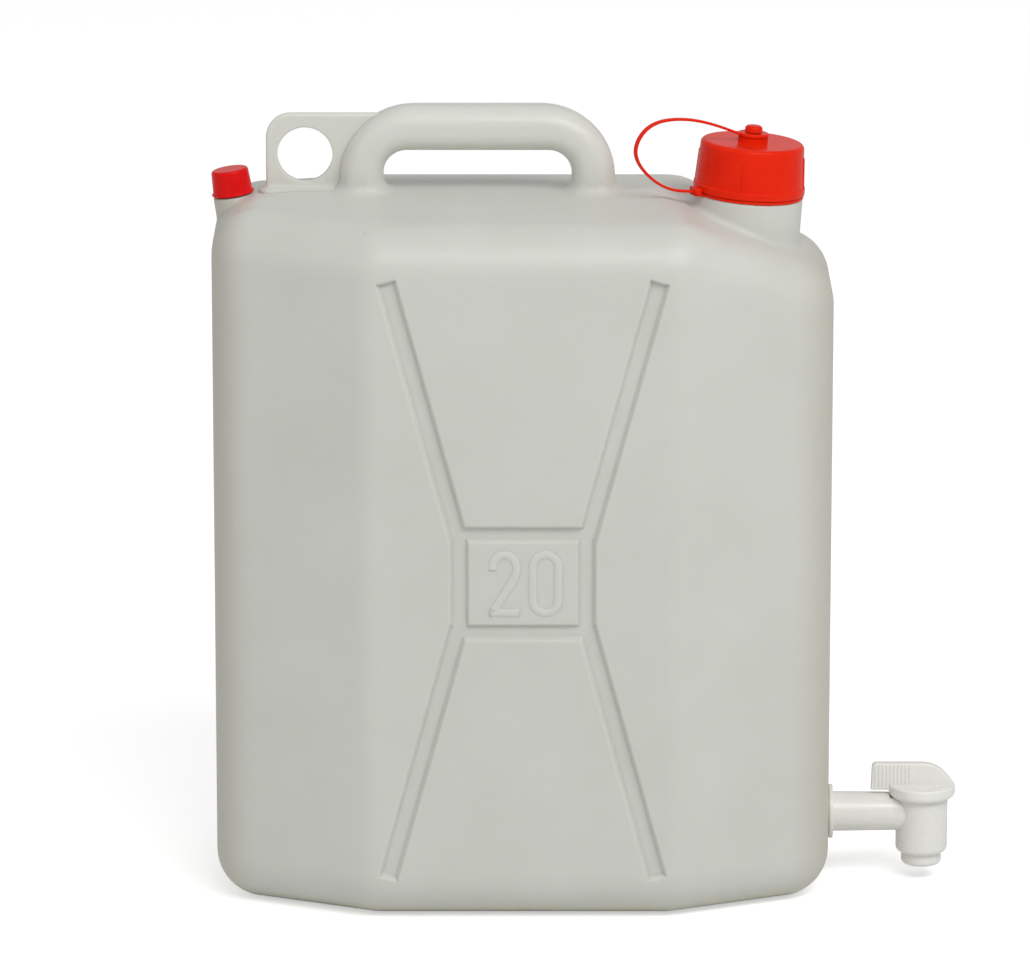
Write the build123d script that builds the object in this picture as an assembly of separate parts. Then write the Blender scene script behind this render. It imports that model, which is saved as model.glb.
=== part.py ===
from build123d import *
import os
from math import atan2, cos, degrees, radians, sin, tan

# Twenty-litre polyethylene canister with a draw-off tap, all sizes in millimetres.
# X runs along the can towards the tap, -Y is the front face, Z is up.
# The origin is the centre of the flat bottom.

# Blow-moulded body
body_width = 350.0
body_depth = 184.0
crest_height = 406.0
panel_width = 174.0
side_width = 104.0
edge_radius = 28.0
roof_fall = 5.0
slope_length = 99.0
slope_angle = 22.0
vent_slope_length = 55.0
vent_slope_angle = 4.0
wall = 2.0
can_end = body_width / 2

# Pressed grooves of the front and back panels
groove_depth = 3.4
groove_draft = 30.0
groove_width = 11.4
level_groove_width = 9.8
plate_width = 59.6
plate_height = 46.6
plate_drop = 0.8
arms_floor = 26.0
arms_headroom = 34.0
arms_margin = 10.8
arm_root_out = 6.0
arm_root_up = 1.4
arm_reach = (crest_height - arms_headroom - arms_floor) / 2
plate_level = arms_floor + arm_reach

# Carrying handle, set in from the can's ends and up from its crest
handle_vent_margin = 71.8
handle_tap_margin = 122.8
handle_rise = 48.4
handle_corner = 42.0
handle_thickness = 28.0
handle_rounding = 10.5
grip_rise = 23.0
grip_corner = 13.0
leg_width = 24.6
leg_foot_radius = 7.0
handle_centre = (handle_vent_margin - handle_tap_margin) / 2
grip_length = body_width - handle_vent_margin - handle_tap_margin - 2 * leg_width
grip_top = crest_height + grip_rise
handle_top = crest_height + handle_rise

# Hanging web beside the handle
web_margin = 30.0
web_rise = 43.5
web_thickness = 5.0
web_corner = 14.0
web_foot_radius = 4.0
web_edge = 1.5
web_grip_gap = 0.4
hang_hole_radius = 15.6
hang_hole_margin = 52.0
hang_hole_rise = 20.0

# Both screw closures
seal_clearance = 0.1
shoulder_edge = 1.0
neck_root = 45.0

# Filler neck, in a frame that leans towards the tap
filler_margin = 47.4
filler_drop = 3.1
filler_lean = 4.2
filler_shoulder_radius = 30.8
filler_finish_radius = 25.6
filler_finish_height = 26.2
filler_finish_wall = 2.8
filler_foot_radius = 3.0

# Filler cap
filler_cap_lift = 1.9
filler_cap_crown = 2.2
filler_liner_thickness = 1.9
filler_thread_room = 1.9
filler_skirt_rim = 3.5
filler_skirt_top = 1.7
filler_cap_edge = 2.5
band_height = 4.6
band_proud = 0.6
band_edge = 0.8
grip_rib_count = 4
grip_rib_width = 1.6
grip_rib_proud = 0.5
grip_rib_turn = -9.0
grip_rib_stop = 7.0
boss_radius = 8.5
boss_height = 2.6
button_post_radius = 3.9
button_head_radius = 5.0
button_head_height = 3.6
button_head_edge = 2.0
filler_cap_bore = filler_finish_radius + filler_thread_room
filler_cap_rim_radius = filler_cap_bore + filler_skirt_rim
filler_cap_top_radius = filler_cap_bore + filler_skirt_top
filler_crown = filler_finish_height + filler_liner_thickness + 2 * seal_clearance
filler_cap_top = filler_crown + filler_cap_crown
band_radius = filler_cap_rim_radius + band_proud

# Cap tether, with its strap's way as radius and level in the neck's frame
tether_ring_thickness = 1.6
tether_ring_width = 5.2
tether_clearance = 0.3
tether_turn = 25.0
strap_thickness = 1.3
strap_width = 3.0
strap_way = (48.0, 3.4), (66.2, 13.6), (73.4, 26.0), (68.1, 38.0), (50.0, 43.8), (24.5, 40.0)
lug_width = 9.0
lug_length = 3.4
lug_height = 4.5
eye_radius = 8.7
eye_thickness = 2.2

# Vent neck, in a frame that leans away from the tap
vent_margin = 11.4
vent_drop = 3.6
vent_lean = -8.3
vent_shoulder_radius = 11.4
vent_foot_radius = 1.5
vent_finish_radius = 8.0
vent_finish_height = 10.6
vent_finish_wall = 2.2

# Vent cap
vent_cap_lift = 0.8
vent_cap_crown = 1.7
vent_liner_thickness = 2.6
vent_thread_room = 1.2
vent_skirt_rim = 2.1
vent_skirt_top = 1.2
vent_cap_edge = 1.6
vent_lip_height = 1.2
vent_lip_proud = 0.7
vent_lip_edge = 0.4
vent_cap_bore = vent_finish_radius + vent_thread_room
vent_crown = vent_finish_height + vent_liner_thickness + 2 * seal_clearance
vent_cap_top = vent_crown + vent_cap_crown

# Tap, set out from the can's end at its own level
tap_level = 39.2
tap_standoff = 55.3
stem_radius = 10.0
stem_wall = 2.2
stem_length = 14.0
wall_hole_clearance = 0.3
flange_radius = 15.6
flange_thickness = 2.4
flange_edge = 0.7
tap_gasket_inset = 1.0
tap_gasket_thickness = 1.4
tube_root_radius = 11.6
tube_end_radius = 10.9
barrel_radius = 14.9
barrel_wall = 2.9
barrel_rise = 9.2
barrel_drop = 23.6
barrel_floor_thickness = 2.4
barrel_shoulder = 3.4
spout_radius = 11.5
spout_wall = 2.5
spout_length = 7.2
spout_rounding = 2.4
nut_wall = 3.0
nut_height = 7.0
thread_clearance = 0.1
tap_seat = can_end + tap_gasket_thickness
tap_reach = can_end + tap_standoff
stem_bore = stem_radius - stem_wall
barrel_bore = barrel_radius - barrel_wall
barrel_top = tap_level + barrel_rise
barrel_foot = tap_level - barrel_drop
barrel_floor = barrel_foot + barrel_floor_thickness
spout_foot = barrel_foot - spout_length
spout_bore = spout_radius - spout_wall

# Tap key
key_clearance = 0.05
key_lift = 0.1
key_disc_overhang = 4.2
key_disc_height = 7.4
key_disc_under_edge = 3.0
key_disc_top_edge = 1.2
plug_wall = 2.25
window_radius = 7.2
snap_bead = 0.5
snap_height = 1.6
snap_rise = 5.5
stop_depth = 2.6
stop_sweep = 90.0
stop_lug_sweep = 24.0
stop_play = 1.0
stop_lug_inset = 0.25
swing_clearance = 0.3
blade_start = 4.1
blade_rise = 19.9
blade_reach = 29.6
blade_thickness = 6.0
blade_corner = 2.5
blade_brow_hold = 0.55
blade_nose_hold = 0.85
blade_nose_level = 0.35
blade_lean = 0.7
blade_edge = 0.8
blade_rib_count = 10
blade_rib_pitch = 2.2
blade_rib_width = 1.1
blade_rib_proud = 0.45
blade_rib_start = 1.6
key_disc_radius = barrel_radius + key_disc_overhang
key_foot = barrel_top + key_lift
key_deck = key_foot + key_disc_height
plug_radius = barrel_bore - key_clearance
plug_bore = plug_radius - plug_wall


filler_frame = Plane(
    origin=(can_end - filler_margin, 0, crest_height - filler_drop),
    x_dir=(cos(radians(filler_lean)), 0, -sin(radians(filler_lean))),
    z_dir=(sin(radians(filler_lean)), 0, cos(radians(filler_lean))),
)
vent_frame = Plane(
    origin=(vent_margin - can_end, 0, crest_height - vent_drop),
    x_dir=(cos(radians(vent_lean)), 0, -sin(radians(vent_lean))),
    z_dir=(sin(radians(vent_lean)), 0, cos(radians(vent_lean))),
)


def disc(radius, low, high):
    """An upright cylinder of the given radius between two levels."""
    return Pos(0, 0, (low + high) / 2) * Cylinder(radius, high - low)


def ring(outer, inner, low, high):
    """An upright tube between two radii and two levels."""
    return disc(outer, low, high) - disc(inner, low - 1, high + 1)


def turned(points):
    """A solid turned about Z from its outline of radius and level."""
    outline = Plane.XZ * make_face(Polyline(*points, close=True))
    return revolve(outline, Axis.Z)


def can_form(inset):
    """The can without its details: an octagonal block under a gabled roof that
    slopes down to both ends, all edges rounded, each face moved in by inset."""
    half_depth = body_depth / 2
    plan = make_face(Polyline(
        (can_end, side_width / 2), (panel_width / 2, half_depth),
        (-panel_width / 2, half_depth), (-can_end, side_width / 2),
        (-can_end, -side_width / 2), (-panel_width / 2, -half_depth),
        (panel_width / 2, -half_depth), (can_end, -side_width / 2), close=True))
    eaves = crest_height - half_depth * tan(radians(roof_fall))
    gable = make_face(Polyline(
        (-half_depth, 0), (half_depth, 0), (half_depth, eaves),
        (0, crest_height), (-half_depth, eaves), close=True))
    fall = tan(radians(slope_angle))
    tap_slope = make_face(Polyline(
        (-can_end, 0), (can_end, 0), (can_end, crest_height - slope_length * fall),
        (-can_end, crest_height + (body_width - slope_length) * fall), close=True))
    vent_fall = tan(radians(vent_slope_angle))
    vent_slope = make_face(Polyline(
        (-can_end, 0), (can_end, 0),
        (can_end, crest_height + (body_width - vent_slope_length) * vent_fall),
        (-can_end, crest_height - vent_slope_length * vent_fall), close=True))
    if inset:
        plan = offset(plan, amount=-inset, kind=Kind.INTERSECTION)
        gable = offset(gable, amount=-inset, kind=Kind.INTERSECTION)
        tap_slope = offset(tap_slope, amount=-inset, kind=Kind.INTERSECTION)
        vent_slope = offset(vent_slope, amount=-inset, kind=Kind.INTERSECTION)
    block = extrude(plan, amount=crest_height)
    block = block & extrude(Plane.YZ * gable, amount=body_width, both=True)
    block = block & extrude(Plane.XZ * tap_slope, amount=body_depth, both=True)
    block = block & extrude(Plane.XZ * vent_slope, amount=body_depth, both=True)
    return fillet(block.edges(), edge_radius - inset)


def groove_outline(growth):
    """The pressed cross of one panel, widened by growth: four arms from the
    corners of a frame round the centre plate."""
    frame = Rectangle(plate_width + 2 * (groove_width + growth),
                      plate_height + 2 * (level_groove_width + growth))
    root = Vector(plate_width / 2 + arm_root_out, plate_height / 2 + arm_root_up)
    tip = Vector(panel_width / 2 - arms_margin, arm_reach)
    run = tip - root
    lean = degrees(atan2(run.X, run.Y))
    middle = Pos((root + tip) / 2)
    arm = Rectangle(groove_width + 2 * growth, run.length + 2 * growth)
    arm = middle * Rot(0, 0, -lean) * arm
    arms = arm + mirror(arm, Plane.YZ)
    arms = arms + mirror(arms, Plane.XZ)
    plate = Rectangle(plate_width - 2 * growth, plate_height - 2 * growth)
    return frame + arms - plate


def grooves(growth):
    """The cutters of both panels' grooves, swollen by growth on every face, with
    the centre plate sunk a little so that its raised figures stay below the panel."""
    front = Plane(origin=(0, -body_depth / 2, plate_level), x_dir=(1, 0, 0), z_dir=(0, 1, 0))
    outline = front * groove_outline(growth)
    cutter = extrude(outline, amount=groove_depth + growth, taper=groove_draft)
    flare = 2 * plate_drop * tan(radians(groove_draft))
    plate = front * Rectangle(plate_width + flare, plate_height + flare)
    cutter = cutter + extrude(plate, amount=plate_drop + growth)
    return cutter + mirror(cutter, Plane.XZ)


def handle_form(inset):
    """The handle, a flattened bar bent down into the roof at both ends, with
    each face moved in by inset."""
    foot = crest_height - edge_radius
    half_length = grip_length / 2 + leg_width - inset
    top = handle_top - inset
    arch = Pos(handle_centre, (foot + top) / 2) * Rectangle(2 * half_length, top - foot)
    arch = fillet(arch.vertices().group_by(Axis.Y)[-1], handle_corner - inset)
    roof = grip_top + inset
    gap = Pos(handle_centre, (foot + roof) / 2) * Rectangle(grip_length + 2 * inset, roof - foot)
    gap = fillet(gap.vertices().group_by(Axis.Y)[-1], grip_corner + inset)
    bar = extrude(Plane.XZ * (arch - gap), amount=handle_thickness / 2 - inset, both=True)
    sides = bar.faces().filter_by(Axis.Y).edges()
    long_edges = sides - bar.faces().sort_by(Axis.Z)[0].edges() - bar.faces().sort_by(Axis.Z)[1].edges()
    return fillet(long_edges, handle_rounding - inset)


def hanging_web():
    """The flat web that fills the corner beside the handle, on a flared foot
    with a round end."""
    foot = crest_height - edge_radius
    top = crest_height + web_rise
    near_end = web_margin - can_end
    leg_start = handle_centre - grip_length / 2 - leg_width / 2
    far_end = handle_centre - grip_length / 2 - web_grip_gap
    outline = Pos((near_end + far_end) / 2, (foot + top) / 2)
    outline = outline * Rectangle(far_end - near_end, top - foot)
    corner = outline.vertices().group_by(Axis.Y)[-1].sort_by(Axis.X)[0]
    outline = fillet(corner, web_corner)
    web = extrude(Plane.XZ * outline, amount=web_thickness / 2, both=True)
    rim = web.faces().filter_by(Axis.Y).edges().filter_by(
        lambda edge: edge.center().Z > crest_height + web_foot_radius and edge.center().X < far_end - 1)
    web = fillet(rim, web_edge)
    half = web_thickness / 2
    flare = half + web_foot_radius
    brow = crest_height + web_foot_radius
    sole = crest_height - web_foot_radius
    section = make_face([
        Line((0, sole), (flare, sole)),
        Line((flare, sole), (flare, crest_height)),
        RadiusArc((flare, crest_height), (half, brow), web_foot_radius),
        Line((half, brow), (0, brow)),
        Line((0, brow), (0, sole)),
    ])
    foot_end = Pos(near_end + half, 0, 0)
    strip = foot_end * extrude(Plane.YZ * section, amount=leg_start - near_end - half)
    strip = strip + mirror(strip, Plane.XZ)
    return web + strip + foot_end * revolve(Plane.XZ * section, Axis.Z)


def filler_neck(inset):
    """The filler neck's shoulder and finish, or with inset the space inside."""
    if inset:
        shoulder = disc(filler_shoulder_radius - inset, -neck_root, -inset)
        bore = disc(filler_finish_radius - filler_finish_wall, -neck_root, filler_finish_height + 1)
        return filler_frame * (shoulder + bore)
    shoulder = disc(filler_shoulder_radius, -neck_root, 0)
    shoulder = fillet(shoulder.edges().sort_by(Axis.Z)[-1], shoulder_edge)
    return filler_frame * (shoulder + disc(filler_finish_radius, -neck_root, filler_finish_height))


def vent_neck(inset):
    """The vent neck's shoulder and finish, or with inset the space inside."""
    root = neck_root / 2
    if inset:
        shoulder = disc(vent_shoulder_radius - inset, -root, -inset)
        bore = disc(vent_finish_radius - vent_finish_wall, -root, vent_finish_height + 1)
        return vent_frame * (shoulder + bore)
    shoulder = disc(vent_shoulder_radius, -root, 0)
    shoulder = fillet(shoulder.edges().sort_by(Axis.Z)[-1], shoulder_edge)
    return vent_frame * (shoulder + disc(vent_finish_radius, -root, vent_finish_height))


def joined(body, piece, radius):
    """A piece moulded on the body with a rounded foot."""
    both = body + piece
    return fillet(new_edges(body, piece, combined=both), radius)


def canister_body():
    """The whole blow moulding: outer form less the space inside."""
    outer = joined(can_form(0), handle_form(0), leg_foot_radius) + hanging_web()
    outer = joined(outer, filler_neck(0), filler_foot_radius)
    outer = joined(outer, vent_neck(0), vent_foot_radius)
    outer = outer - grooves(0)
    inner = can_form(wall) - grooves(wall) + handle_form(wall) + filler_neck(wall) + vent_neck(wall)
    hang_hole = Pos(hang_hole_margin - can_end, 0, crest_height + hang_hole_rise) * Rot(90, 0, 0)
    hang_hole = hang_hole * Cylinder(hang_hole_radius, body_depth)
    tap_hole = along_x(stem_radius + wall_hole_clearance, can_end - 2 * wall, can_end + wall)
    return outer - inner - hang_hole - tap_hole


def filler_cap():
    """The screw cap: tapered skirt with a band and ribs, boss and button on top."""
    height = filler_cap_top - filler_cap_lift
    skirt = Cone(filler_cap_rim_radius, filler_cap_top_radius, height)
    skirt = Pos(0, 0, filler_cap_lift + height / 2) * skirt
    skirt = fillet(skirt.edges().sort_by(Axis.Z)[-1], filler_cap_edge)
    band = disc(band_radius, filler_cap_lift, filler_cap_lift + band_height)
    band = fillet(band.edges(), band_edge)
    rib_top = filler_cap_top - grip_rib_stop
    rib_shrink = (filler_cap_rim_radius - filler_cap_top_radius) * (rib_top - filler_cap_lift) / height
    rib = make_face(Polyline(
        (filler_cap_top_radius - 1, filler_cap_lift), (filler_cap_rim_radius + grip_rib_proud, filler_cap_lift),
        (filler_cap_rim_radius + grip_rib_proud - rib_shrink, rib_top),
        (filler_cap_top_radius - 1, rib_top), close=True))
    rib = extrude(Plane.XZ * rib, amount=grip_rib_width / 2, both=True)
    ribs = [Rot(0, 0, grip_rib_turn + 360 / grip_rib_count * n) * rib for n in range(grip_rib_count)]
    neck = disc(filler_cap_bore, filler_cap_lift - 1, filler_crown)
    boss = disc(boss_radius, filler_cap_top - 1, filler_cap_top + boss_height)
    head_start = filler_cap_top + boss_height + eye_thickness + 2 * tether_clearance
    head = disc(button_head_radius, head_start, head_start + button_head_height)
    head = fillet(head.edges().sort_by(Axis.Z)[-1], button_head_edge)
    post = disc(button_post_radius, filler_cap_top, head_start + button_head_height / 2)
    return filler_frame * (skirt + band + ribs - neck + boss + post + head)


def filler_gasket():
    """The sealing disc between the neck's lip and the cap's crown."""
    radius = filler_cap_bore - tether_clearance
    return filler_frame * disc(radius, filler_finish_height + seal_clearance, filler_crown - seal_clearance)


def cap_tether():
    """The flexible tether: neck ring, lug, looped strap and the eye on the button."""
    hole = filler_finish_radius + tether_clearance
    outer = hole + tether_ring_width
    lug_start = band_radius + tether_clearance
    lug_end = lug_start + lug_length
    neck_ring = ring(outer, hole, 0, tether_ring_thickness)
    tab_length = lug_end - hole - tether_ring_width / 2
    tab = Pos(lug_end - tab_length / 2, 0, tether_ring_thickness / 2)
    tab = tab * Box(tab_length, lug_width, tether_ring_thickness)
    lug = Pos((lug_start + lug_end) / 2, 0, lug_height / 2) * Box(lug_length, lug_width, lug_height)
    eye_low = filler_cap_top + boss_height + tether_clearance
    eye = ring(eye_radius, button_post_radius + tether_clearance, eye_low, eye_low + eye_thickness)
    start = (lug_end - strap_thickness / 2, lug_height / 2)
    finish = (eye_radius - strap_thickness / 2, eye_low + eye_thickness / 2)
    route = Plane.XZ * Spline(start, *strap_way, finish)
    section = Plane(origin=route @ 0, x_dir=(0, 1, 0), z_dir=route % 0)
    strap = sweep(section * Rectangle(strap_width, strap_thickness), path=route)
    tether = neck_ring + tab + lug + eye + strap
    return filler_frame * Rot(0, 0, 180 + tether_turn) * tether


def vent_cap():
    """The small screw cap: a tapered cup with a rounded top edge and a thin lip."""
    height = vent_cap_top - vent_cap_lift
    cup = Cone(vent_cap_bore + vent_skirt_rim, vent_cap_bore + vent_skirt_top, height)
    cup = Pos(0, 0, vent_cap_lift + height / 2) * cup
    cup = fillet(cup.edges().sort_by(Axis.Z)[-1], vent_cap_edge)
    lip_radius = vent_cap_bore + vent_skirt_rim + vent_lip_proud
    lip = disc(lip_radius, vent_cap_lift, vent_cap_lift + vent_lip_height)
    lip = fillet(lip.edges(), vent_lip_edge)
    return vent_frame * (cup + lip - disc(vent_cap_bore, vent_cap_lift - 1, vent_crown))


def vent_gasket():
    """The sealing disc between the vent neck's lip and its cap."""
    radius = vent_cap_bore - tether_clearance
    return vent_frame * disc(radius, vent_finish_height + seal_clearance, vent_crown - seal_clearance)


def along_x(radius, low, high):
    """A level cylinder on the tap's inlet axis between two positions in X."""
    return Pos((low + high) / 2, 0, tap_level) * Rot(0, 90, 0) * Cylinder(radius, high - low)


def stop_sector(outer, sweep_angle, low, high):
    """A sector of the barrel's rim for the key's stop, centred on +X."""
    reach = 2 * outer
    spread = radians(sweep_angle / 2)
    sector = make_face(Polyline(
        (0, 0), (reach * cos(spread), -reach * sin(spread)), (reach, 0),
        (reach * cos(spread), reach * sin(spread)), close=True))
    return extrude(Pos(0, 0, low) * sector, amount=high - low) & ring(outer, barrel_bore, low, high)


def tap_body():
    """The tap's fixed moulding: threaded stem, flange, tube, barrel and spout."""
    stem = along_x(stem_radius, can_end - stem_length, tap_seat + flange_thickness)
    flange = fillet(along_x(flange_radius, tap_seat, tap_seat + flange_thickness).edges(), flange_edge)
    tube = Pos((tap_seat + tap_reach) / 2, 0, tap_level) * Rot(0, 90, 0)
    tube = tube * Cone(tube_root_radius, tube_end_radius, tap_reach - tap_seat)
    barrel = disc(barrel_radius, barrel_foot, barrel_top)
    barrel = fillet(barrel.edges().sort_by(Axis.Z)[0], barrel_shoulder)
    spout = disc(spout_radius, spout_foot, barrel_foot + barrel_shoulder)
    spout = fillet(spout.edges().sort_by(Axis.Z)[0], spout_rounding)
    landing = disc(key_disc_radius + swing_clearance, barrel_top, barrel_top + key_disc_height)
    bore = disc(barrel_bore, barrel_floor, barrel_top + 1) + disc(spout_bore, spout_foot - 1, barrel_floor + 1)
    bead_low = barrel_floor + snap_rise - swing_clearance
    bead_high = bead_low + snap_height + 2 * swing_clearance
    bore = bore + disc(plug_radius + snap_bead + swing_clearance, bead_low, bead_high)
    notch_sweep = stop_sweep + stop_lug_sweep + 2 * stop_play
    notch = stop_sector(barrel_radius + 1, notch_sweep, barrel_top - stop_depth, barrel_top + 1)
    notch = Rot(0, 0, stop_sweep / 2) * notch
    upright = Pos(tap_reach, 0, 0)
    passage = along_x(stem_bore, can_end - stem_length - 1, tap_reach)
    shell = stem + flange + tube + upright * (barrel + spout)
    return shell - passage - upright * (bore + landing + notch)


def blade():
    """The key's thumb blade: flat top, rounded nose and rows of grip ribs."""
    nose = key_disc_radius - blade_edge
    under = barrel_top + blade_start
    top = barrel_top + blade_rise
    heel = Polyline((nose, key_deck), (nose, under), (-blade_reach, under),
                    (blade_lean - blade_reach, top), (0, top))
    brow = Bezier((0, top), (blade_brow_hold * nose, top),
                  (blade_nose_hold * nose, key_deck + blade_nose_level * (top - key_deck)), (nose, key_deck))
    profile = make_face(heel.edges() + brow.edges())
    corner = profile.vertices().sort_by(Axis.X)[1]
    profile = fillet(corner, blade_corner)
    solid = extrude(Plane.XZ * profile, amount=blade_thickness / 2, both=True)
    solid = fillet(solid.faces().filter_by(Axis.Y).edges(), blade_edge)
    rib_low = under + blade_edge
    rib_high = top - blade_edge
    rib = Box(blade_rib_width, blade_thickness + 2 * blade_rib_proud, rib_high - rib_low)
    first = blade_lean - blade_reach + blade_rib_start + blade_rib_width / 2
    ribs = [Pos(first + blade_rib_pitch * n, 0, (rib_low + rib_high) / 2) * rib for n in range(blade_rib_count)]
    return solid + ribs


def tap_key():
    """The turning key: hollow plug with its window and snap bead, disc and blade."""
    cap_disc = disc(key_disc_radius, key_foot, key_deck)
    cap_disc = fillet(cap_disc.edges().sort_by(Axis.Z)[0], key_disc_under_edge)
    cap_disc = fillet(cap_disc.edges().sort_by(Axis.Z)[-1], key_disc_top_edge)
    plug = disc(plug_radius, barrel_floor + swing_clearance, key_foot + 1)
    bead_low = barrel_floor + snap_rise
    bead_high = bead_low + snap_height
    bead_reach = plug_radius + snap_bead
    bead = turned([
        (plug_bore, bead_low), (plug_radius, bead_low), (bead_reach, bead_low + snap_bead),
        (bead_reach, bead_high - snap_bead), (plug_radius, bead_high), (plug_bore, bead_high)])
    hollow = disc(plug_bore, barrel_floor, key_foot)
    window = Pos(0, plug_radius, tap_level) * Rot(90, 0, 0) * Cylinder(window_radius, 2 * plug_radius - plug_bore)
    lug_radius = barrel_radius - stop_lug_inset
    lug_foot = barrel_top - stop_depth + swing_clearance
    lug = stop_sector(lug_radius, stop_lug_sweep, lug_foot, key_foot + 1)
    key = cap_disc + blade() + plug + bead - hollow - window + lug
    return Pos(tap_reach, 0, 0) * key


def tap_gasket():
    """The soft washer between the tap's flange and the can."""
    washer = along_x(flange_radius - tap_gasket_inset, can_end, tap_seat)
    return washer - along_x(stem_radius + wall_hole_clearance, can_end - 1, tap_seat + 1)


def tap_backnut():
    """The nut inside the can, clear of the rounding at the foot of its end wall."""
    corner = edge_radius - wall
    circumradius = (stem_radius + nut_wall) / cos(radians(30))
    dip = max(0, edge_radius - (tap_level - circumradius))
    stand_off = corner - (corner ** 2 - dip ** 2) ** 0.5 + seal_clearance
    face = can_end - wall - stand_off
    nut = RegularPolygon(circumradius, 6)
    nut = Pos(face - nut_height, 0, tap_level) * Rot(0, 90, 0) * extrude(nut, amount=nut_height)
    return nut - along_x(stem_radius + thread_clearance, face - nut_height - 1, face + 1)


parts = {
    "canister_body": canister_body,
    "filler_cap": filler_cap,
    "filler_gasket": filler_gasket,
    "cap_tether": cap_tether,
    "vent_cap": vent_cap,
    "vent_gasket": vent_gasket,
    "tap_body": tap_body,
    "tap_key": tap_key,
    "tap_gasket": tap_gasket,
    "tap_backnut": tap_backnut,
}

os.makedirs("parts", exist_ok=True)
for name, build in parts.items():
    export_step(build(), f"parts/{name}.step")
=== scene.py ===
from math import cos, radians, sin

import bpy
import numpy as np
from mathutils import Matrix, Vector


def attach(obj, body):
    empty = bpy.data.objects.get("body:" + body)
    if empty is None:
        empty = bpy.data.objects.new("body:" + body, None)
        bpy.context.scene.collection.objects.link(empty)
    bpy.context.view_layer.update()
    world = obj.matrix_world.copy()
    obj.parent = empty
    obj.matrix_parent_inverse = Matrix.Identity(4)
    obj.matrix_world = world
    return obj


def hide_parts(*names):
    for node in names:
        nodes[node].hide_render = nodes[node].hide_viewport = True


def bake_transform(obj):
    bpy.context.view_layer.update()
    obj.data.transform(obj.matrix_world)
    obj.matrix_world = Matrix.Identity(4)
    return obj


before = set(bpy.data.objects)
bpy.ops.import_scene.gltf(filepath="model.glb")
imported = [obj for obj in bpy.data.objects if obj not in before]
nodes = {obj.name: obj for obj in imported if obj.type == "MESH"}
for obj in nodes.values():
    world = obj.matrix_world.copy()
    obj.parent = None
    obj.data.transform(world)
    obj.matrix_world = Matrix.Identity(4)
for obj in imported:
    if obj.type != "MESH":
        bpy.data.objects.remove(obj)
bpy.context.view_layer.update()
scene = bpy.context.scene
MM = 0.001


# Camera. A long lens far back, square to the front panel and looking slightly down,
# so that the panel keeps its outline and the roof just shows.
camera_target = np.array([-4.4, 0.0, 233.1]) * MM
camera_rise = radians(14.1)
camera_distance = 4260 * MM
camera_data = bpy.data.cameras.new("camera")
camera_data.lens = 260.8
camera_data.sensor_width = 36.0
camera_data.clip_end = 50.0
camera = bpy.data.objects.new("camera", camera_data)
towards_camera = np.array([0, -cos(camera_rise), sin(camera_rise)])
camera.location = camera_target + camera_distance * towards_camera
camera.rotation_euler = (radians(90) - camera_rise, 0, 0)
scene.collection.objects.link(camera)
scene.camera = camera


# Studio. A plain white floor that keeps the canister's shadow, an even surround that
# the camera sees as white, and two broad soft lamps: a key above the right shoulder
# and a weak fill from the left.
surround_light = 0.5
floor_glow = 0.5
floor_white = 0.86
floor_half_size = 9.0


def linear(*srgb):
    """Linear colour of an sRGB colour given as 0 to 255: each channel c / 255 is
    raised to the power 2.4 after the standard's offset."""
    channel = np.array(srgb) / 255
    dark_part = channel / 12.92
    bright_part = ((channel + 0.055) / 1.055) ** 2.4
    return (*np.where(channel <= 0.04045, dark_part, bright_part), 1.0)


world = bpy.data.worlds.new("surround")
world.use_nodes = True
tree = world.node_tree
tree.nodes.clear()
seen = tree.nodes.new("ShaderNodeLightPath")
seen_or_through = tree.nodes.new("ShaderNodeMath")
seen_or_through.operation = "MAXIMUM"
lit = tree.nodes.new("ShaderNodeBackground")
lit.inputs["Color"].default_value = (1, 1, 1, 1)
lit.inputs["Strength"].default_value = surround_light
plain = tree.nodes.new("ShaderNodeBackground")
plain.inputs["Color"].default_value = (1, 1, 1, 1)
choice = tree.nodes.new("ShaderNodeMixShader")
sky = tree.nodes.new("ShaderNodeOutputWorld")
tree.links.new(seen.outputs["Is Camera Ray"], seen_or_through.inputs[0])
tree.links.new(seen.outputs["Is Transmission Ray"], seen_or_through.inputs[1])
tree.links.new(seen_or_through.outputs[0], choice.inputs[0])
tree.links.new(lit.outputs[0], choice.inputs[1])
tree.links.new(plain.outputs[0], choice.inputs[2])
tree.links.new(choice.outputs[0], sky.inputs["Surface"])
scene.world = world

floor_mesh = bpy.data.meshes.new("floor")
floor_corners = np.array([(-1, -1, 0), (1, -1, 0), (1, 1, 0), (-1, 1, 0)]) * floor_half_size
floor_mesh.from_pydata(floor_corners.tolist(), [], [(0, 1, 2, 3)])
floor = bpy.data.objects.new("floor", floor_mesh)
scene.collection.objects.link(floor)
paper = bpy.data.materials.new("white_floor")
paper.use_nodes = True
tree = paper.node_tree
tree.nodes.clear()
sheet = tree.nodes.new("ShaderNodeBsdfDiffuse")
sheet.inputs["Color"].default_value = (floor_white, floor_white, floor_white, 1)
glow = tree.nodes.new("ShaderNodeEmission")
glow.inputs["Strength"].default_value = floor_glow
both = tree.nodes.new("ShaderNodeAddShader")
seen = tree.nodes.new("ShaderNodeLightPath")
choice = tree.nodes.new("ShaderNodeMixShader")
ground = tree.nodes.new("ShaderNodeOutputMaterial")
tree.links.new(sheet.outputs[0], both.inputs[0])
tree.links.new(glow.outputs[0], both.inputs[1])
tree.links.new(seen.outputs["Is Camera Ray"], choice.inputs[0])
tree.links.new(sheet.outputs[0], choice.inputs[1])
tree.links.new(both.outputs[0], choice.inputs[2])
tree.links.new(choice.outputs[0], ground.inputs["Surface"])
floor_mesh.materials.append(paper)


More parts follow.
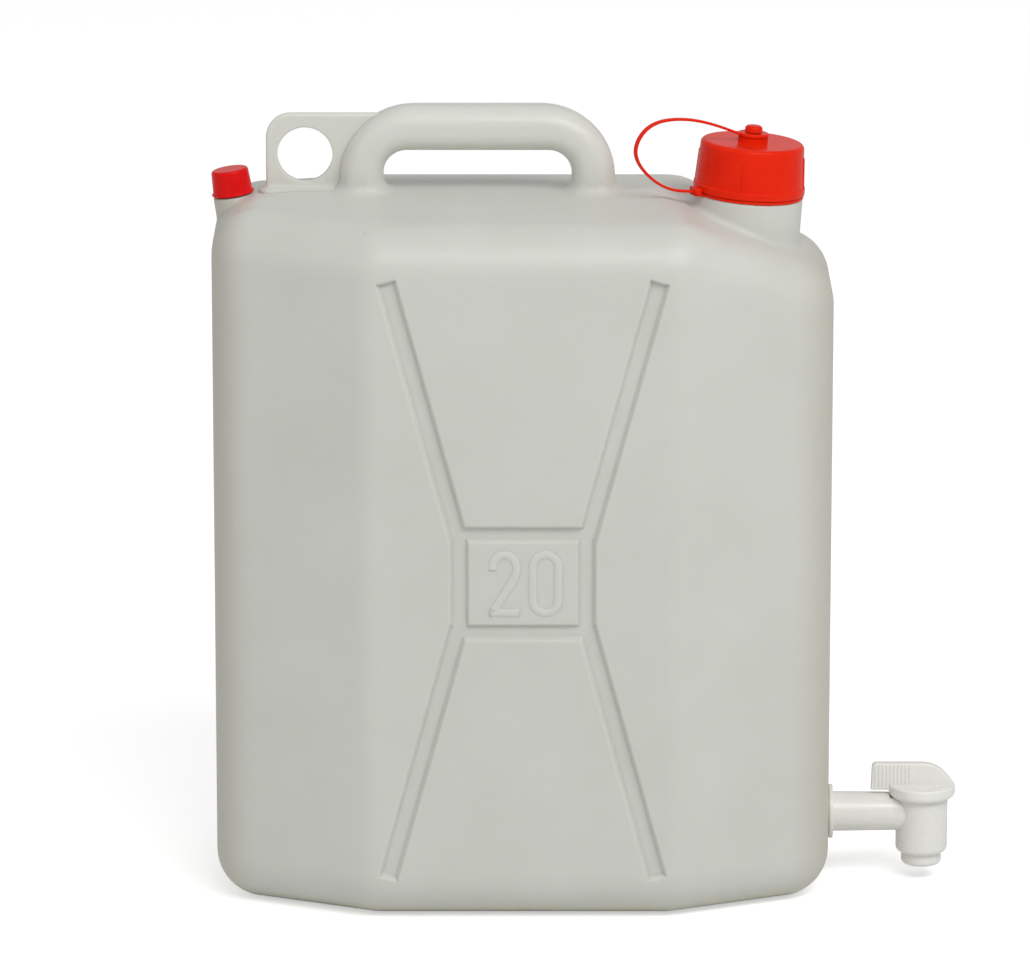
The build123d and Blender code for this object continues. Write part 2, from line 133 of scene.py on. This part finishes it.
def soft_lamp(name, place, width, height, watts):
    """A broad lamp at a place in metres, turned to face the canister's middle."""
    data = bpy.data.lights.new(name, "AREA")
    data.shape = "RECTANGLE"
    data.size = width
    data.size_y = height
    data.energy = watts
    lamp = bpy.data.objects.new(name, data)
    lamp.location = place
    aim = Vector(camera_target) - lamp.location
    lamp.rotation_euler = aim.to_track_quat("-Z", "Y").to_euler()
    scene.collection.objects.link(lamp)


soft_lamp("key_lamp", place=(1.0, -2.0, 2.5), width=2.6, height=1.0, watts=54)
soft_lamp("fill_lamp", place=(-2.6, -2.0, 1.6), width=1.6, height=1.6, watts=5)


# Canister body. One blow moulding of natural polyethylene: a waxy, cloudy white that
# lets some light through, with the faint grain of the sand-blasted mould.
def moulded_plastic(name, tone, shade, patch_size, grain_size, grain_depth, roughness,
                    glow_weight=0.0, glow_depth=1.0, shine=0.5):
    """A moulded plastic: its colour drifts between tone and shade in soft patches,
    its surface has a fine grain, and its gloss changes a little from place to place.
    glow_weight and glow_depth in mm say how far light spreads inside it."""
    material = bpy.data.materials.new(name)
    material.use_nodes = True
    tree = material.node_tree
    surface = tree.nodes["Principled BSDF"]
    place = tree.nodes.new("ShaderNodeTexCoord")
    patches = tree.nodes.new("ShaderNodeTexNoise")
    patches.inputs["Scale"].default_value = 1 / (patch_size * MM)
    patches.inputs["Detail"].default_value = 3.0
    colours = tree.nodes.new("ShaderNodeValToRGB")
    colours.color_ramp.elements[0].position = 0.3
    colours.color_ramp.elements[0].color = shade
    colours.color_ramp.elements[1].position = 0.7
    colours.color_ramp.elements[1].color = tone
    grain = tree.nodes.new("ShaderNodeTexNoise")
    grain.inputs["Scale"].default_value = 1 / (grain_size * MM)
    grain.inputs["Detail"].default_value = 2.0
    relief = tree.nodes.new("ShaderNodeBump")
    relief.inputs["Distance"].default_value = grain_depth * MM
    relief.inputs["Strength"].default_value = 1.0
    gloss = tree.nodes.new("ShaderNodeMapRange")
    gloss.inputs["From Min"].default_value = 0.3
    gloss.inputs["From Max"].default_value = 0.7
    gloss.inputs["To Min"].default_value = roughness - 0.04
    gloss.inputs["To Max"].default_value = roughness + 0.04
    tree.links.new(place.outputs["Object"], patches.inputs["Vector"])
    tree.links.new(place.outputs["Object"], grain.inputs["Vector"])
    tree.links.new(patches.outputs["Fac"], colours.inputs["Fac"])
    tree.links.new(patches.outputs["Fac"], gloss.inputs["Value"])
    tree.links.new(grain.outputs["Fac"], relief.inputs["Height"])
    tree.links.new(colours.outputs["Color"], surface.inputs["Base Color"])
    tree.links.new(gloss.outputs["Result"], surface.inputs["Roughness"])
    tree.links.new(relief.outputs["Normal"], surface.inputs["Normal"])
    surface.inputs["Subsurface Weight"].default_value = glow_weight
    surface.inputs["Subsurface Radius"].default_value = (1.0, 0.9, 0.7)
    surface.inputs["Subsurface Scale"].default_value = glow_depth * MM
    surface.inputs["IOR"].default_value = 1.5
    surface.inputs["Specular IOR Level"].default_value = shine
    return material


def dress(node, material):
    """Gives a CAD node this material in place of its plain one."""
    nodes[node].data.materials.clear()
    nodes[node].data.materials.append(material)


def tint(material, mask, colour):
    """Lays a colour over a material's own colour as far as the mask, a node's output
    from 0 to 1, lets it through."""
    tree = material.node_tree
    surface = tree.nodes["Principled BSDF"]
    below = surface.inputs["Base Color"].links[0].from_socket
    layer = tree.nodes.new("ShaderNodeMix")
    layer.data_type = "RGBA"
    layer.inputs["B"].default_value = colour
    tree.links.new(mask, layer.inputs["Factor"])
    tree.links.new(below, layer.inputs["A"])
    tree.links.new(layer.outputs["Result"], surface.inputs["Base Color"])


def ramp(tree, source, start, end, most=1.0):
    """A value that rises smoothly from 0 where the source is start to most where it
    is end, both in mm."""
    rise = tree.nodes.new("ShaderNodeMapRange")
    rise.interpolation_type = "SMOOTHSTEP"
    rise.inputs["From Min"].default_value = start * MM
    rise.inputs["From Max"].default_value = end * MM
    rise.inputs["To Max"].default_value = most
    tree.links.new(source, rise.inputs["Value"])
    return rise.outputs["Result"]


def size_of(tree, source):
    """The value without its sign."""
    unsigned = tree.nodes.new("ShaderNodeMath")
    unsigned.operation = "ABSOLUTE"
    tree.links.new(source, unsigned.inputs[0])
    return unsigned.outputs[0]


natural_hdpe = moulded_plastic(
    "natural_polyethylene", linear(208, 209, 202), linear(204, 205, 197), patch_size=60,
    grain_size=1.4, grain_depth=0.04, roughness=0.42, glow_weight=0.6, glow_depth=3.5)
tree = natural_hdpe.node_tree
place = tree.nodes["Texture Coordinate"].outputs["Object"]
axes = tree.nodes.new("ShaderNodeSeparateXYZ")
tree.links.new(place, axes.inputs[0])
off_centre = size_of(tree, axes.outputs["X"])
off_seam = size_of(tree, axes.outputs["Y"])
level = axes.outputs["Z"]
end_wall_painted_shade = linear(182, 176, 160)
foot_painted_shade = linear(196, 194, 168)
handle_painted_light = linear(222, 222, 214)
seam_tone = linear(228, 228, 220)
# Painted shade: both end walls turn darker and browner towards their outer edges, where they turn away
# from the light.
tint(natural_hdpe, ramp(tree, off_centre, 150, 176, 0.55), end_wall_painted_shade)
# Painted shade: darker and yellower towards the bottom, near the floor, on top of the yellower tint of
# the thicker plastic at the foot.
tint(natural_hdpe, ramp(tree, level, 14, 2, 0.5), foot_painted_shade)
# Painted light: the handle and the top of the roof are made lighter, as if lit from above.
tint(natural_hdpe, ramp(tree, level, 402, 425, 0.5), handle_painted_light)
tint(natural_hdpe, ramp(tree, off_seam, 0.5, 0.2, 0.3), seam_tone)

# Specks in the natural polymer: about one in four cells of a coarse pattern has one,
# whose outer and inner radius are shares of a cell.
speck_spacing = 30 * MM
speck_share = 0.25
speck_radius = 0.022
speck_core = 0.012
speck_strength = 0.45
cells = tree.nodes.new("ShaderNodeTexVoronoi")
cells.inputs["Scale"].default_value = 1 / speck_spacing
tree.links.new(place, cells.inputs["Vector"])
near = tree.nodes.new("ShaderNodeMapRange")
near.inputs["From Min"].default_value = speck_radius
near.inputs["From Max"].default_value = speck_core
near.inputs["To Max"].default_value = speck_strength
tree.links.new(cells.outputs["Distance"], near.inputs["Value"])
chosen = tree.nodes.new("ShaderNodeSeparateColor")
tree.links.new(cells.outputs["Color"], chosen.inputs[0])
few = tree.nodes.new("ShaderNodeMath")
few.operation = "LESS_THAN"
few.inputs[1].default_value = speck_share
tree.links.new(chosen.outputs[0], few.inputs[0])
speck = tree.nodes.new("ShaderNodeMath")
speck.operation = "MULTIPLY"
tree.links.new(near.outputs["Result"], speck.inputs[0])
tree.links.new(few.outputs[0], speck.inputs[1])
tint(natural_hdpe, speck.outputs[0], linear(120, 118, 108))

# The mould's edges are broken, so light rolls over them, and its two halves leave a
# fine raised line all round the middle.
edge_rounding = 1.8 * MM
seam_height = 0.25 * MM
broken_edges = tree.nodes.new("ShaderNodeBevel")
broken_edges.samples = 6
broken_edges.inputs["Radius"].default_value = edge_rounding
seam = tree.nodes.new("ShaderNodeBump")
seam.inputs["Distance"].default_value = seam_height
tree.links.new(ramp(tree, off_seam, 0.5, 0.2), seam.inputs["Height"])
tree.links.new(broken_edges.outputs["Normal"], seam.inputs["Normal"])
tree.links.new(seam.outputs["Normal"], tree.nodes["Bump"].inputs["Normal"])
dress("canister_body", natural_hdpe)


# Neck threads. Two turns or a little more of thread stand on each blow-moulded neck,
# and a matching thread inside each cap has the same pitch and runs about half a pitch
# away from it.
def put_mesh(name, points, faces, material, body):
    """A piece from its points in mm and its faces, riding on a body."""
    mesh = bpy.data.meshes.new(name)
    mesh.from_pydata((points * MM).tolist(), [], faces)
    mesh.polygons.foreach_set("use_smooth", [True] * len(mesh.polygons))
    mesh.materials.append(material)
    mesh.update()
    piece = bpy.data.objects.new(name, mesh)
    scene.collection.objects.link(piece)
    if body:
        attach(piece, body)
    return piece


def tube_faces(stations, sides, closed):
    """Faces of a grid of stations along a path by sides round its section. An open
    path gets a flat face on each end, a closed one joins its last station to its
    first."""
    along = np.arange(stations if closed else stations - 1)
    i, j = [g.ravel() for g in np.meshgrid(along, np.arange(sides), indexing="ij")]
    ahead, beside = (i + 1) % stations, (j + 1) % sides
    quads = np.stack([i * sides + j, i * sides + beside, ahead * sides + beside, ahead * sides + j], 1)
    faces = quads.tolist()
    if not closed:
        faces.append(list(range(sides))[::-1])
        faces.append(list(range((stations - 1) * sides, stations * sides)))
    return faces


def leaning(points, origin_x, origin_z, lean):
    """Points from a neck's own frame into the canister's: turned about Y by the lean
    in degrees, then moved to the neck's place."""
    x, y, z = points[..., 0], points[..., 1], points[..., 2]
    c, s = cos(radians(lean)), sin(radians(lean))
    return np.stack([origin_x + c * x + s * z, y, origin_z - s * x + c * z], -1)


def filler(points):
    """Points from the filler neck's frame into the canister's."""
    return leaning(points, origin_x=127.6, origin_z=402.9, lean=4.2)


def vent(points):
    """Points from the vent neck's frame into the canister's."""
    return leaning(points, origin_x=-163.6, origin_z=402.4, lean=-8.3)


def thread(root, crest, start, pitch, turns, root_width, crest_width):
    """A ridge carried along a right-hand helix: at angle a its middle is at level
    start + pitch * a / full turn. Its section is a trapezoid from the root radius to
    the crest radius, which grows from almost nothing over a quarter turn and dies
    away in the same way."""
    steps_per_turn = 72
    thinnest = 0.04
    angle = np.linspace(0, 2 * np.pi * turns, int(steps_per_turn * turns) + 1)
    nearest_end = np.minimum(angle, angle[-1] - angle)
    grown = np.clip(nearest_end / (np.pi / 2), thinnest, 1)[:, None]
    radius = np.array([root, crest, crest, root])
    level = np.array([-root_width, -crest_width, crest_width, root_width]) / 2
    # A ridge that stands outwards takes its section the other way round, so that its
    # faces still point out.
    if crest > root:
        radius, level = radius[::-1], level[::-1]
    r = root + (radius[None, :] - root) * grown
    z = start + pitch * angle[:, None] / (2 * np.pi) + level[None, :] * grown
    points = np.stack([r * np.cos(angle)[:, None], r * np.sin(angle)[:, None], z], -1)
    return points.reshape(-1, 3), tube_faces(len(angle), 4, closed=False)


orange_red = moulded_plastic(
    "orange_red_plastic", linear(232, 40, 8), linear(226, 34, 8), patch_size=18,
    grain_size=0.9, grain_depth=0.012, roughness=0.22, glow_weight=0.15, glow_depth=0.8, shine=0.1)
vent_red = moulded_plastic(
    "deep_red_plastic", linear(226, 12, 12), linear(218, 10, 11), patch_size=9,
    grain_size=0.8, grain_depth=0.01, roughness=0.22, glow_weight=0.15, glow_depth=0.8, shine=0.16)

filler_pitch = 4.0
vent_pitch = 2.5
points, faces = thread(root=25.5, crest=27.0, start=7.0, pitch=filler_pitch, turns=2.5,
                       root_width=2.4, crest_width=1.0)
put_mesh("filler_neck_thread", filler(points), faces, natural_hdpe, "canister")
points, faces = thread(root=27.6, crest=26.0, start=5.0, pitch=filler_pitch, turns=3.5,
                       root_width=2.4, crest_width=1.0)
put_mesh("filler_cap_thread", filler(points), faces, orange_red, "filler_closure")
points, faces = thread(root=7.9, crest=8.8, start=3.0, pitch=vent_pitch, turns=2.0,
                       root_width=1.4, crest_width=0.6)
put_mesh("vent_neck_thread", vent(points), faces, natural_hdpe, "canister")
points, faces = thread(root=9.3, crest=8.4, start=1.8, pitch=vent_pitch, turns=3.0,
                       root_width=1.4, crest_width=0.6)
put_mesh("vent_cap_thread", vent(points), faces, vent_red, "vent_closure")


# Capacity figures. The litres, 20, swell softly from the sunk plate of each panel,
# as plain strokes that an engraved mould leaves in the same polyethylene.
panel_face = 92.0
plate_drop = 0.8
figure_height = 0.5
figure_root = 0.3
stroke = 4.6


def smooth_way(knots, steps):
    """A natural cubic spline through the knots: its second derivatives solve the
    usual three-band system, with chord lengths as the parameter."""
    knots = np.array(knots, float)
    h = np.linalg.norm(np.diff(knots, axis=0), axis=1)
    t = np.concatenate([[0], np.cumsum(h)])
    n = len(t)
    bands = np.eye(n)
    inner = np.arange(1, n - 1)
    bands[inner, inner - 1] = h[:-1]
    bands[inner, inner] = 2 * (h[:-1] + h[1:])
    bands[inner, inner + 1] = h[1:]
    pull = np.zeros_like(knots)
    slope = np.diff(knots, axis=0) / h[:, None]
    pull[1:-1] = 6 * np.diff(slope, axis=0)
    bend = np.linalg.solve(bands, pull)
    s = np.linspace(0, t[-1], steps)
    k = np.clip(np.searchsorted(t, s, side="right") - 1, 0, n - 2)
    a = (t[k + 1] - s)[:, None]
    b = (s - t[k])[:, None]
    w = h[k][:, None]
    from_near_knot = bend[k] * a ** 3 / (6 * w) + (knots[k] / w - bend[k] * w / 6) * a
    from_far_knot = bend[k + 1] * b ** 3 / (6 * w) + (knots[k + 1] / w - bend[k + 1] * w / 6) * b
    return from_near_knot + from_far_knot


def swept(way, section, closed=False):
    """A section carried along a way in the XZ plane: its first offsets go across that
    plane and its second along the way's normal. A closed way takes its direction at
    the ends from both sides of the join."""
    if closed:
        ahead = np.roll(way, -1, axis=0) - np.roll(way, 1, axis=0)
    else:
        ahead = np.gradient(way, axis=0)
    ahead /= np.linalg.norm(ahead, axis=1)[:, None]
    normal = np.stack([-ahead[:, 1], ahead[:, 0]], 1)
    across, up = section
    x = way[:, :1] + normal[:, :1] * up[None, :]
    z = way[:, 1:] + normal[:, 1:] * up[None, :]
    y = np.broadcast_to(across[None, :], x.shape)
    return np.stack([x, y, z], -1).reshape(-1, 3), tube_faces(len(way), len(across), closed)


def gathered(shapes):
    """Several shapes as one: their points in a row and their faces renumbered."""
    points = np.concatenate([p for p, _ in shapes])
    starts = np.cumsum([0] + [len(p) for p, _ in shapes])
    faces = [[v + start for v in face]
             for start, (_, shape) in zip(starts, shapes) for face in shape]
    return points, faces


def swell(height, width, root, steps=13):
    """The section of a raised stroke: the upper half of a cosine wave, standing on a
    root sunk below the face it swells from."""
    up = np.linspace(width / 2, -width / 2, steps)
    rise = np.cos(np.pi * up / width) * height
    across = np.concatenate([[root], -rise, [root]])
    return across, np.concatenate([up[:1], up, up[-1:]])


foot_level = 181.95
nought_middle = (12.7, 198.75)
nought_bend = 7.15
nought_side = 9.65
two_way = smooth_way(
    [(-17.05, 206.5), (-15.7, 212.6), (-10.35, 215.55), (-5.0, 212.6), (-3.65, 207),
     (-5.6, 200.5), (-10.5, 192.5), (-16.4, 182.9)], steps=60)
foot_way = np.linspace((-18.9, foot_level), (-1.8, foot_level), 8)
turn = np.linspace(0, 2 * np.pi, 72, endpoint=False)
half_shift = nought_side * np.where(turn < np.pi, 1, -1)
nought_way = np.stack([
    nought_middle[0] + nought_bend * np.cos(turn),
    nought_middle[1] + nought_bend * np.sin(turn) + half_shift], 1)
raised = swell(figure_height, stroke, figure_root)
points, faces = gathered([
    swept(two_way, raised), swept(foot_way, raised), swept(nought_way, raised, closed=True)])
points[:, 1] += plate_drop - panel_face
figure_hdpe = moulded_plastic(
    "natural_polyethylene_figures", linear(206, 207, 200), linear(202, 203, 195), patch_size=60,
    grain_size=1.4, grain_depth=0.04, roughness=0.45)
put_mesh("front_figures", points, faces, figure_hdpe, "canister")
put_mesh("back_figures", points * (-1, -1, 1), faces, figure_hdpe, "canister")


# Filler cap. An injection moulding in orange red, smooth enough for a soft light on
# its rounded brow; its foam liner is pressed into the crown.
dress("filler_cap", orange_red)
foam = moulded_plastic(
    "foam_liner", linear(236, 234, 226), linear(222, 219, 208), patch_size=4,
    grain_size=0.5, grain_depth=0.12, roughness=0.85)
dress("filler_gasket", foam)


# Cap tether. One flexible strip in the cap's red: a ring lying on the neck's ledge, a
# lug on its rim, a strap that loops over, and an eye held on the cap's button.
tether_turn = radians(205)


def rounded_section(width, height, corner, per_corner=4):
    """The outline of a rectangle with rounded corners, as offsets across and up,
    going counter-clockwise: each corner is a quarter circle about its own centre."""
    quarter = np.linspace(0, np.pi / 2, per_corner)
    starts = np.array([0, 1, 2, 3]) * np.pi / 2
    angle = (starts[:, None] + quarter[None, :]).ravel()
    side = np.repeat([1, -1, -1, 1], per_corner)
    storey = np.repeat([1, 1, -1, -1], per_corner)
    across = side * (width / 2 - corner) + corner * np.cos(angle)
    up = storey * (height / 2 - corner) + corner * np.sin(angle)
    return across, up


def hoop(radius, level, width, height, corner, steps=96):
    """A flat ring: the rounded section carried round the neck's axis."""
    across, up = rounded_section(width, height, corner)
    turn = np.linspace(0, 2 * np.pi, steps, endpoint=False)[:, None]
    r = radius + across[None, :]
    points = np.stack([r * np.cos(turn), r * np.sin(turn), level + up[None, :] + 0 * turn], -1)
    faces = [f[::-1] for f in tube_faces(steps, len(across), closed=True)]
    return points.reshape(-1, 3), faces


ring_level = 0.8
ring_height = 1.6
lug_level = 2.25
lug_height = 4.5
lug_width = 9.0
strap_way = smooth_way(
    [(34.6, lug_level), (48, 3.4), (66.2, 13.6), (73.4, 26), (68.1, 38),
     (50, 43.8), (24.5, 40), (8.05, 34.5)], steps=90)
tab_way = np.array([[29.0, ring_level], [31.5, ring_level], [34.0, ring_level], [35.2, ring_level]])
lug_way = np.array([[31.95, lug_level], [32.3, lug_level], [34.9, lug_level], [35.25, lug_level]])
points, faces = gathered([
    hoop(radius=28.5, level=ring_level, width=5.2, height=ring_height, corner=0.5),
    swept(tab_way, rounded_section(lug_width, ring_height, corner=0.4)),
    swept(lug_way, rounded_section(lug_width, lug_height, corner=1.0)),
    swept(strap_way, rounded_section(width=3.0, height=1.5, corner=0.5)),
    hoop(radius=6.45, level=34.4, width=4.5, height=2.2, corner=0.6, steps=48),
])
x, y = points[:, 0].copy(), points[:, 1].copy()
points[:, 0] = x * cos(tether_turn) - y * sin(tether_turn)
points[:, 1] = x * sin(tether_turn) + y * cos(tether_turn)
tether = put_mesh("cap_tether_strap", filler(points), faces, orange_red, None)
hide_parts("cap_tether")
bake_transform(tether)


# Vent cap. A small screw cap in a deeper red, with its own foam liner.
dress("vent_cap", vent_red)
dress("vent_gasket", foam)


# Tap. Two injection mouldings in milky polyethylene, whiter than the can: the body
# with its tube and spout, and the key with its ribbed thumb blade. A rubber washer
# and a nut inside the wall hold it.
milky = moulded_plastic(
    "milky_plastic", linear(231, 230, 225), linear(229, 228, 223), patch_size=14,
    grain_size=0.7, grain_depth=0.012, roughness=0.28, glow_weight=0.35, glow_depth=2.0)
milky_key = moulded_plastic(
    "milky_key_plastic", linear(235, 234, 230), linear(233, 232, 228), patch_size=12,
    grain_size=0.7, grain_depth=0.012, roughness=0.28, glow_weight=0.35, glow_depth=2.0)
dress("tap_body", milky)
dress("tap_backnut", milky)
dress("tap_key", milky_key)
rubber = moulded_plastic(
    "pale_rubber", linear(214, 208, 196), linear(204, 197, 184), patch_size=6,
    grain_size=0.4, grain_depth=0.02, roughness=0.6)
dress("tap_gasket", rubber)


# Close. Colours as written.
scene.view_settings.view_transform = "Standard"
